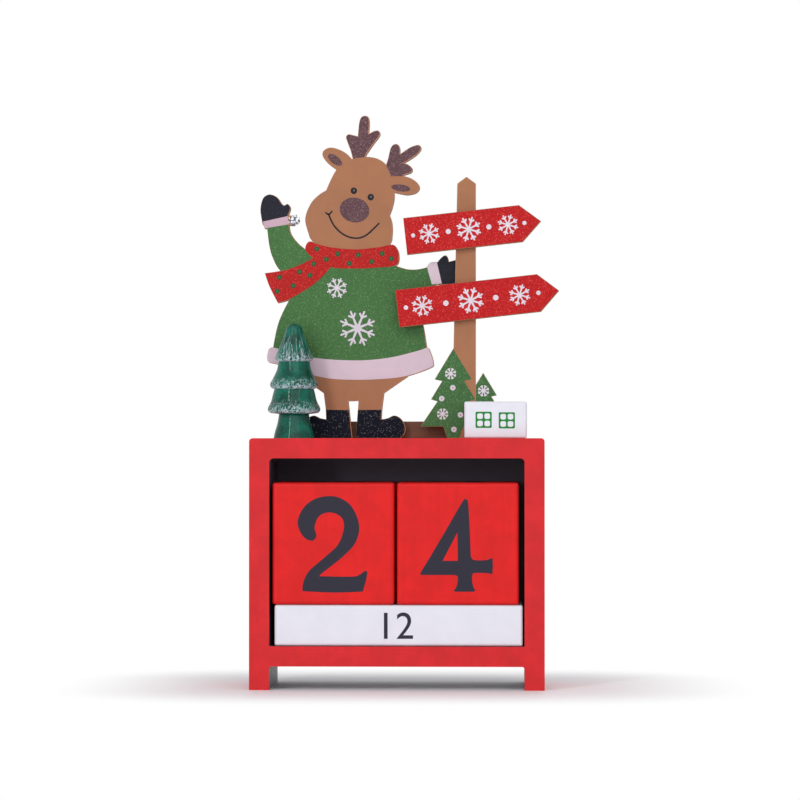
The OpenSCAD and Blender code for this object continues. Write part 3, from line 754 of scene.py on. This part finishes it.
# Each print is inset by its rim width, so along the sheet's outline the lighter sheet face shows as a painted
# edge highlight.
for name, rows, level, rim_highlight, material, slot in (
    ("antler_left", LEFT_ANTLER, 1, 0.2, antler_print, "brown_sheet"),
    ("antler_right", RIGHT_ANTLER, 1, 0.2, antler_print, "brown_sheet"),
    ("ear_left", LEFT_EAR, 2, 0.2, body_print, "brown_sheet"),
    ("ear_right", RIGHT_EAR, 2, 0.2, body_print, "brown_sheet"),
    ("head", HEAD, 3, 0.2, body_print, "brown_sheet"),
    ("legs", LEGS, 1, 0.2, body_print, "brown_sheet"),
    ("boot_left", LEFT_BOOT, 2, 0.13, boot_print, "black_board"),
    ("boot_right", RIGHT_BOOT, 2, 0.13, boot_print, "black_board"),
    ("sweater", SWEATER, 2, 0.17, sweater_print, "green_tree"),
    ("arm_left", LEFT_ARM, 3, 0.14, sweater_print, "green_tree"),
    ("mitten_left", LEFT_MITTEN, 2, 0.14, navy_print, "black_board"),
    ("mitten_right", RIGHT_MITTEN, 3, 0.16, navy_print, "black_board"),
    ("cuff_left", LEFT_CUFF, 4, 0.13, left_cuff_painted_shade, "white_bar"),
    ("cuff_right", RIGHT_CUFF, 4, 0.13, right_cuff_painted_light, "white_bar"),
    ("hem", HEM, 4, 0.13, trim_print, "white_bar"),
    ("scarf_tail", SCARF_TAIL, 5, 0.16, scarf_print, "red_sign"),
    ("scarf", SCARF, 6, 0.16, scarf_print, "red_sign"),
):
    layer(name + "_print", [[inset(curve(rows), rim_highlight)]], reindeer, level * LAYER, material)

MOUTH = [
    [-7.8, 66.3], [-7.1, 64.6], [-6.1, 62.8], [-4.5, 61.1], [-2.5, 59.8], [-0.3, 59.2], [1.7, 59.3],
    [3.6, 60.2], [5.3, 61.7], [7.1, 63.5],
]
TICK = [[-8.6, 66.7], [-7.7, 66.2], [-6.8, 67.1]]
MOUTH_W, TICK_W = 0.5, 0.48
EYES = [[-0.3, 73.2], [4.7, 71.3]]
EYE_HALF_W, EYE_HALF_H = 0.96, 1.0
GLINT_X, GLINT_Y, GLINT_R = 0.06, 0.1, 0.26
# Ellipses by place, half axes, turn and count, and snowflakes by place, radius and line
NOSE = (-0.1, 67.5, 4.43, 3.66, -12, 48)
INNER_EARS = [(-5.9, 82.4, 2.5, 1.18, -38), (13.6, 74.0, 2.85, 1.02, -8)]
SWEATER_FLAKES = [(-5.3, 44.4, 3.15, 0.42), (0.8, 32.5, 5.5, 0.55)]
FLAKE_TAB = (-18, 64.5, 1.42, 1.42)
FACE = 4 * LAYER
lines = [[stroke(MOUTH, MOUTH_W)], [stroke(TICK, TICK_W)]]
layer("mouth_print", lines, reindeer, FACE, eye_print)
eyes = [[ellipse(*p, EYE_HALF_W, EYE_HALF_H)] for p in EYES]
layer("eyes_print", eyes, reindeer, FACE, eye_print)
glints = [[ellipse(x + GLINT_X, y + GLINT_Y, GLINT_R, GLINT_R, count=14)] for x, y in EYES]
layer("eye_glints_print", glints, reindeer, FACE + LAYER, glint_print)
layer("nose_print", [[ellipse(*NOSE)]], reindeer, FACE, antler_print)
inner_ears = [[ellipse(*ear)] for ear in INNER_EARS]
layer("inner_ears_print", inner_ears, reindeer, FACE, antler_print)
sweater_flakes = [[snowflake(*flake)] for flake in SWEATER_FLAKES]
layer("sweater_snowflakes_print", sweater_flakes, reindeer, 3 * LAYER, flake_print)
DOTS = [
    [-11.3, 56], [-5.1, 54.5], [1, 54.2], [8.1, 54.6], [10.8, 53.1], [5, 52.2], [-1.7, 51.7], [-8.5, 52.9],
    [-12.2, 51.6], [-16.4, 49.2], [-13.3, 48.2], [-22.4, 47.6], [-18.3, 45.1], [-23, 43.5],
]
DOT_R, DOT_MIDDLE_R = 0.76, 0.32
dots = [[ellipse(*p, DOT_R, DOT_R, count=18)] for p in DOTS]
layer("scarf_dots_print", dots, reindeer, 7 * LAYER, dot_print)
dots = [[ellipse(*p, DOT_MIDDLE_R, DOT_MIDDLE_R, count=12)] for p in DOTS]
layer("scarf_dot_middles_print", dots, reindeer, 8 * LAYER, dot_middle_print)
layer("flake_tab_print", [[ellipse(*FLAKE_TAB)]], reindeer, LAYER, tab_print)

# Prints on the signpost and its trees, measured from the middle of the post's foot

DRAWN_TREE_H, LARGE_TREE_H, SMALL_TREE_H = 26.4, 26.2, 19.1
LARGE_TREE_LEFT, LARGE_K = 3, LARGE_TREE_H / DRAWN_TREE_H
SMALL_TREE_RIGHT, SMALL_K = 5.7, SMALL_TREE_H / DRAWN_TREE_H
HALF_TREE = [[0, 26.4], [5.5, 17.3], [3.3, 16.8], [6.6, 11.4], [4.7, 10.8], [9.7, 3.4], [3, 3.4], [1.8, 0]]
TREE_HALF_W = 9.7 * LARGE_K
POST = [[-3.55, 0], [-1.85, 74.3], [0.85, 76.3], [3.55, 74.3], [3.55, 0]]
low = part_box("signpost_cutout")[0]
post = Plane((low.x + (LARGE_TREE_LEFT + TREE_HALF_W) * MM, low.y, low.z), (1, 0, 0), (0, 0, 1))


def flat_tree(x, k):
    """Outline of a flat tree round x, times k."""
    right = [Vector((x + k * p[0], k * p[1])) for p in HALF_TREE]
    left = [Vector((x - k * p[0], k * p[1])) for p in HALF_TREE[:0:-1]]
    return right + left


# The post and tree prints are inset, so the lighter sheet face shows round them as a painted edge highlight.
POST_RIM_HIGHLIGHT, TREE_RIM_HIGHLIGHT = 0.2, 0.1
post_line = [Vector(p) for p in POST]
small_tree = cut_left(inset(flat_tree(SMALL_TREE_RIGHT, SMALL_K), TREE_RIM_HIGHLIGHT), POST[-1][0])
large_tree = inset(flat_tree(-LARGE_TREE_LEFT, LARGE_K), TREE_RIM_HIGHLIGHT)
layer("post_print", [[inset(post_line, POST_RIM_HIGHLIGHT)]], post, LAYER, body_print)
layer("small_tree_print", [[small_tree]], post, LAYER, tree_print)
layer("large_tree_print", [[large_tree]], post, 2 * LAYER, tree_print)
TREE_FLAKES = [[-3.8, 18.8], [-6.15, 7.05], [5.8, 13.8]]
TREE_DOTS = [[-3.15, 14.7], [-6.4, 11.55], [-0.95, 6.8], [-2.85, 2.55]]
TREE_FLAKE_R, TREE_DOT_R, TREE_DOT_MIDDLE_R = 1.66, 0.8, 0.26
flakes = [[wheel_flake(*p, TREE_FLAKE_R)] for p in TREE_FLAKES]
layer("tree_snowflakes_print", flakes, post, 3 * LAYER, flake_print)
dots = [[ellipse(*p, TREE_DOT_R, TREE_DOT_R, count=18)] for p in TREE_DOTS]
layer("tree_dots_print", dots, post, 3 * LAYER, flake_print)
dots = [[ellipse(*p, TREE_DOT_MIDDLE_R, TREE_DOT_MIDDLE_R, count=10)] for p in TREE_DOTS]
layer("tree_dot_middles_print", dots, post, 4 * LAYER, pink_print)

# Red prints on the signs, with ornaments in place of lettering

SIGN_TILT = math.radians(6.3)
SIGN_POINT, SIGN_MARGIN, ORNAMENT_LINE = 5.9, 0.15, 0.13
sign_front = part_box("upper_sign")[0].y
for name, height, left, right, half_w, flakes, dots in (
    (
        "upper", 60.64, -17.1, 22.7, 5.4,
        [[-10, 3.1], [1.6, 3.7], [13.1, 3.1]],
        [[-14.7, 0.6], [-4.4, 0.75], [7.5, 0.75], [17.9, 0.6]],
    ),
    (
        "lower", 39.83, -19.4, 28, 5.5,
        [[-12, 3.2], [2.2, 3.9], [16.5, 3.2]],
        [[-16.8, 0.65], [-5.1, 0.8], [9.5, 0.8], [22, 0.65]],
    ),
):
    middle = post.origin + Vector((0, 0, height * MM))
    middle.y = sign_front
    middle += PRINT_SHIFT
    along = Vector((math.cos(SIGN_TILT), 0, math.sin(SIGN_TILT)))
    face = Plane(middle, along, (-along.z, 0, along.x))
    shoulder = right - SIGN_POINT
    corners = [(left, -half_w), (shoulder, -half_w), (right, 0), (shoulder, half_w), (left, half_w)]
    arrow = inset([Vector(p) for p in corners], SIGN_MARGIN)
    layer(name + "_sign_print", [[arrow]], face, LAYER, sign_print)
    shapes = [[snowflake(x, 0, r, r * ORNAMENT_LINE)] for x, r in flakes]
    shapes += [[ellipse(x, 0, r, r, count=18)] for x, r in dots]
    layer(name + "_sign_ornaments", shapes, face, 2 * LAYER, ornament_print)

# Windows of the house

PANE, BAR_W, PANE_R, WINDOW_R = 1.62, 0.48, 0.5, 0.35
WINDOWS = [[5.6, 5.3], [12.3, 5.15]]
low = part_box("house_block")[0]
house = Plane(low, (1, 0, 0), (0, 0, 1))
half, pane_half, apart = PANE + 1.5 * BAR_W, PANE / 2, (PANE + BAR_W) / 2
windows = []
for x, y in WINDOWS:
    loops = [round_rectangle(x - half, y - half, x + half, y + half, WINDOW_R)]
    for sx in (-1, 1):
        for sy in (-1, 1):
            cx, cy = x + sx * apart, y + sy * apart
            pane = (cx - pane_half, cy - pane_half, cx + pane_half, cy + pane_half)
            loops.append(round_rectangle(*pane, PANE_R))
    windows.append(loops)
layer("house_windows_print", windows, house, LAYER, window_print)

# Fillets of filler and paint in the frame's inner corners, under the top board and under the shelf

TOP_FILLET, SHELF_FILLET, FILLET_SET_BACK, FILLET_DEPTH = 1.2, 0.7, 0.01, 36
left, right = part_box("left_side_board")[1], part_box("right_side_board")[0]
front = Plane((0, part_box("top_board")[0].y, 0), (1, 0, 0), (0, 0, 1))
arc = [math.radians(90 + 15 * step) for step in range(7)]
fillets = []
for node, r in (("top_board", TOP_FILLET), ("shelf_board", SHELF_FILLET)):
    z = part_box(node)[0].z / MM
    for x, turn in ((left.x / MM, 1), (right.x / MM, -1)):
        hollow = [Vector((x + turn * r * (1 + math.cos(a)), z - r * (1 - math.sin(a)))) for a in arc]
        fillets.append([[Vector((x, z))] + hollow])
layer("frame_fillets", fillets, front, -FILLET_SET_BACK, red_paint, sunk=FILLET_DEPTH)

# Digits on the cubes and numbers on the bars

DIGITS = {
    "0": [
        [
            [0, 13.8, 1], [6.3, 10.6, 1], [9, 0, 1], [6.3, -10.6, 1], [0, -13.8, 1], [-6.3, -10.6, 1],
            [-9, 0, 1], [-6.3, 10.6, 1],
        ],
        [
            [0, 9.6, 1], [-2.9, 7, 1], [-4.1, 0, 1], [-2.9, -7, 1], [0, -9.6, 1], [2.9, -7, 1],
            [4.1, 0, 1], [2.9, 7, 1],
        ],
    ],
    "1": [
        [
            [2.6, 13.7], [2.7, 2, 1], [2.9, -9.2, 1], [4.3, -10.3, 1], [7.2, -10.5], [7.2, -13.8],
            [-7, -13.8], [-7, -10.5], [-3.6, -10.2, 1], [-2.3, -9, 1], [-2.3, 6.2], [-5.2, 5.2, 1],
            [-7.2, 5.4], [-7.2, 8.2], [-3.6, 9.8, 1], [-1, 13.7],
        ]
    ],
    "2": [
        [
            [-10.3, 5.9, 1], [-8.9, 9.9, 1], [-5.7, 12.7, 1], [-1.4, 13.7, 1], [2.3, 13, 1], [5.5, 10.4, 1],
            [7.5, 5.1, 1], [6.2, 0, 1], [2.1, -4.3, 1], [-3, -8.3, 1], [-4, -9.4], [5.5, -9.5, 1],
            [7.6, -8.9, 1], [9.1, -7.9, 1], [9.8, -8.3, 1], [9.4, -10.8, 1], [8.5, -13.8], [0, -14.1, 1],
            [-8.9, -13.7], [-8.6, -11, 1], [-6.9, -7.8, 1], [-2.7, -4.1, 1], [1.4, -0.2, 1], [3.1, 4.8, 1],
            [2.1, 7.8, 1], [-1.1, 9, 1], [-4.1, 7.9, 1], [-5.4, 4.8, 1], [-4.9, 2.2, 1], [-6.2, 0.8, 1],
            [-8.7, 2.1, 1],
        ]
    ],
    "3": [
        [
            [-8.3, 8, 1], [-5.4, 12.2, 1], [-0.3, 13.8, 1], [5.6, 12, 1], [7.6, 7.2, 1], [5.8, 2.8, 1],
            [3.6, 0.8], [7, -1.9, 1], [8.6, -6.2, 1], [6.4, -11.8, 1], [-0.3, -13.9, 1], [-6.6, -12, 1],
            [-9, -7.8, 1], [-7.7, -5.2, 1], [-5, -5.6, 1], [-4.2, -7.6, 1], [-2.8, -9.6, 1], [-0.2, -10.1, 1],
            [2.8, -9, 1], [4, -6, 1], [2.6, -2.8, 1], [-1.2, -1.9], [-2.6, -1.8], [-2.6, 1.6], [-1, 1.7],
            [1.8, 2.6, 1], [3.1, 6.4, 1], [2.2, 9.2, 1], [-0.4, 10.2, 1], [-2.9, 9.4, 1], [-3.9, 7.4, 1],
            [-5.3, 5.6, 1], [-7.6, 6, 1],
        ]
    ],
    "4": [
        [
            [1.4, 12.2, 1], [2.2, 12.7, 1], [2.9, 12.2, 1], [3.3, 6.9, 1], [3.7, -2.3, 1], [3.9, -3.9, 1],
            [4.8, -4.7, 1], [8.1, -4.7, 1], [9.2, -4.3, 1], [10, -4.2], [10.1, -6.6, 1], [9.9, -8.9],
            [8.9, -8.5, 1], [5.1, -8.4, 1], [4.2, -8.9, 1], [4.1, -10.5, 1], [4.5, -12.4, 1], [5, -13.4, 1],
            [4.5, -13.8], [-0.7, -13.8], [-1.1, -13.4, 1], [-0.4, -12.4, 1], [0, -10.5, 1], [-0.1, -9.4, 1],
            [-0.8, -9], [-10.4, -9], [-10.8, -8.5, 1], [-9.4, -6.2], [-4.1, 2.7],
        ],
        [[-0.1, 3.3], [-4.2, -4.6, 1], [-4, -4.9, 1], [0, -4.9]],
    ],
    "5": [
        [
            [-6.4, 13.3], [6.2, 13.3, 1], [7.9, 14], [7.4, 9.2], [-2.6, 9], [-3.1, 4], [0.8, 4.7, 1],
            [6.6, 2.6, 1], [9, -4.2, 1], [6.4, -11.4, 1], [-0.4, -13.9, 1], [-6.6, -12, 1], [-8.9, -8, 1],
            [-7.6, -5.4, 1], [-5, -5.8, 1], [-4.1, -7.8, 1], [-2.7, -9.7, 1], [-0.3, -10.2, 1],
            [2.9, -8.8, 1], [4.3, -4.4, 1], [2.8, -0.4, 1], [-0.9, 0.9, 1], [-4, -0.2, 1], [-5.6, -1.6],
            [-7.6, -0.8],
        ]
    ],
    "6": [
        [
            [6.6, 12.4], [4, 13.6, 1], [-1.4, 12.4, 1], [-6.8, 7.2, 1], [-9, -2.6, 1], [-6.8, -10.8, 1],
            [0, -13.9, 1], [6.7, -11.2, 1], [9, -5, 1], [6.8, 0.9, 1], [0.9, 3.2, 1], [-3.4, 1.8],
            [-2.6, 5.2, 1], [0.8, 8.6, 1], [4.6, 9.3, 1], [7.4, 9.6],
        ],
        [
            [0, -0.4, 1], [2.9, -1.8, 1], [4.1, -5.2, 1], [2.9, -8.6, 1], [0, -10.1, 1], [-2.9, -8.6, 1],
            [-4.1, -5.2, 1], [-2.9, -1.8, 1],
        ],
    ],
    "7": [
        [
            [-8.4, 13.4], [9, 13.4], [9, 10.4], [4.6, 4.4, 1], [1.2, -3.2, 1], [0.2, -13.8], [-5.4, -13.8],
            [-4, -4.6, 1], [-0.6, 3.4, 1], [3.4, 9.2], [-4.6, 9.2, 1], [-6.9, 8.4, 1], [-8.2, 6.6],
            [-9.2, 6.8],
        ]
    ],
    "8": [
        [
            [0, 13.9, 1], [5.6, 12.2, 1], [7.4, 7.4, 1], [5.9, 2.9, 1], [4.4, 0.9], [7.6, -2, 1],
            [8.9, -6.4, 1], [6.4, -11.9, 1], [0, -13.9, 1], [-6.4, -11.9, 1], [-8.9, -6.4, 1], [-7.6, -2, 1],
            [-4.4, 0.9], [-5.9, 2.9, 1], [-7.4, 7.4, 1], [-5.6, 12.2, 1],
        ],
        [
            [0, 10.4, 1], [-2.3, 9.3, 1], [-3, 6.9, 1], [-2.1, 4.4, 1], [0, 3.4, 1], [2.1, 4.4, 1],
            [3, 6.9, 1], [2.3, 9.3, 1],
        ],
        [
            [0, -1.6, 1], [-3, -3, 1], [-4.1, -6, 1], [-3, -9.1, 1], [0, -10.3, 1], [3, -9.1, 1],
            [4.1, -6, 1], [3, -3, 1],
        ],
    ],
}
SIDES = {
    "front": ((0, -1, 0), (1, 0, 0), (0, 0, 1)),
    "right": ((1, 0, 0), (0, 1, 0), (0, 0, 1)),
    "back": ((0, 1, 0), (-1, 0, 0), (0, 0, 1)),
    "left": ((-1, 0, 0), (0, -1, 0), (0, 0, 1)),
    "top": ((0, 0, 1), (1, 0, 0), (0, 1, 0)),
    "bottom": ((0, 0, -1), (1, 0, 0), (0, -1, 0)),
}
LEFT_DIGITS = {"front": 2, "right": 7, "back": 0, "left": 1, "top": 6, "bottom": 8}
RIGHT_DIGITS = {"front": 4, "right": 5, "back": 0, "left": 1, "top": 3, "bottom": 2}
INK_T = 0.03
NUMBER_H = 7.6


def side_plane(node, side):
    """Plane on the middle of one side of a block."""
    low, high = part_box(node)
    out, right, up = (Vector(v) for v in SIDES[side])
    return Plane((high + low) / 2 + out * (high - low).dot(Vector(map(abs, out))) / 2, right, up)


for body, node, faces in (
    ("left_cube", "left_number_cube", LEFT_DIGITS),
    ("right_cube", "right_number_cube", RIGHT_DIGITS),
):
    for side, digit in faces.items():
        loops = [curve(rows) for rows in DIGITS[str(digit)]]
        plane = side_plane(node, side)
        layer(f"{body}_{side}_digit", [loops], plane, INK_T, ink_print, body)
for body, node, faces in (
    ("front_bar", "front_month_bar", {"front": 12, "top": 9, "back": 10, "bottom": 11}),
    ("middle_bar", "middle_month_bar", {"front": 8, "top": 5, "back": 6, "bottom": 7}),
    ("rear_bar", "rear_month_bar", {"front": 4, "top": 1, "back": 2, "bottom": 3}),
):
    for side, month in faces.items():
        plane = side_plane(node, side)
        number(f"{body}_{side}_number", str(month), NUMBER_H, plane, INK_T, ink_print, body)

# Floor, light and camera

FLOOR_HALF, FADE_START, FADE_END = 3, 0.006, 0.06
WORLD_LEVEL = 0.37
LAMP_AIM = Vector((0, 0, 0.08))
CAMERA_PLACE = Vector((0.03104, -1.0194, 0.0726))
CAMERA_AIM = Vector((-0.00121, -0.0194, 0.0836))
LENS, SENSOR = 156.3, 36


def background_rays(tree):
    """Rays that see a plain pale background: those of the camera, of reflections and of glass."""
    rays = tree.nodes.new("ShaderNodeLightPath").outputs
    seen = rays["Is Camera Ray"]
    for kind in ("Is Glossy Ray", "Is Transmission Ray"):
        either = tree.nodes.new("ShaderNodeMath")
        either.operation = "MAXIMUM"
        tree.links.new(seen, either.inputs[0])
        tree.links.new(rays[kind], either.inputs[1])
        seen = either.outputs[0]
    return seen


floor_mesh = bpy.data.meshes.new("floor")
corners = [(x * FLOOR_HALF, y * FLOOR_HALF, 0) for x, y in ((-1, -1), (1, -1), (1, 1), (-1, 1))]
floor_mesh.from_pydata(corners, [], [(0, 1, 2, 3)])
floor = bpy.data.objects.new("floor", floor_mesh)
bpy.context.scene.collection.objects.link(floor)
floor_paint = Paint("floor_paint", 0.6, 0.2)
floor_paint.set("Base Color", tone(246, 245, 249))
place = floor_paint.add("ShaderNodeVectorMath", {0: floor_paint.object}, operation="ABSOLUTE").outputs[0]
past = floor_paint.vector("SUBTRACT", place, tuple(cad_box[1]))
outside = floor_paint.vector("MAXIMUM", past, (0, 0, 0))
away = floor_paint.add("ShaderNodeVectorMath", {0: outside}, operation="LENGTH").outputs["Value"]
faded = floor_paint.span(away, FADE_START, FADE_END)
share = floor_paint.math("MULTIPLY", background_rays(floor_paint.tree), faded)
white = floor_paint.add("ShaderNodeEmission", {"Color": (1, 1, 1, 1), "Strength": 1.0}).outputs[0]
both = {0: share, 1: floor_paint.shader.outputs[0], 2: white}
mixed = floor_paint.add("ShaderNodeMixShader", both).outputs[0]
floor_paint.put(floor_paint.tree.nodes["Material Output"].inputs["Surface"], mixed)
floor_mesh.materials.append(floor_paint.material)

world = bpy.data.worlds.new("world")
bpy.context.scene.world = world
world.use_nodes = True
tree = world.node_tree
background = tree.nodes["Background"]
background.inputs["Color"].default_value = (1, 1, 1, 1)
level = tree.nodes.new("ShaderNodeMapRange")
level.inputs["To Min"].default_value = WORLD_LEVEL
level.inputs["To Max"].default_value = 1.0
tree.links.new(background_rays(tree), level.inputs["Value"])
tree.links.new(level.outputs[0], background.inputs["Strength"])


def lamp(name, place, width, height, power):
    """Flat lamp that looks at the middle of the object."""
    light = bpy.data.lights.new(name, "AREA")
    light.shape = "RECTANGLE"
    light.size = width
    light.size_y = height
    light.energy = power
    holder = bpy.data.objects.new(name, light)
    holder.location = place
    aim = LAMP_AIM - Vector(place)
    holder.rotation_euler = aim.to_track_quat("-Z", "Y").to_euler()
    bpy.context.scene.collection.objects.link(holder)


lamp("key", (0.2, -1.05, 0.6), 1.0, 1.0, 4.35)
lamp("strip", (-0.5, -0.96, 0.45), 0.06, 0.9, 3.6)
lamp("top", (0.05, -0.1, 0.95), 0.7, 0.7, 1.0)
lamp("rear", (0.25, 1.1, 0.5), 0.8, 0.8, 1.6)

camera_data = bpy.data.cameras.new("camera")
camera_data.sensor_width = SENSOR
camera_data.lens = LENS
camera = bpy.data.objects.new("camera", camera_data)
camera.location = CAMERA_PLACE
camera.rotation_euler = (CAMERA_AIM - CAMERA_PLACE).to_track_quat("-Z", "Y").to_euler()
bpy.context.scene.collection.objects.link(camera)
bpy.context.scene.camera = camera
bpy.context.scene.view_settings.view_transform = "Standard"
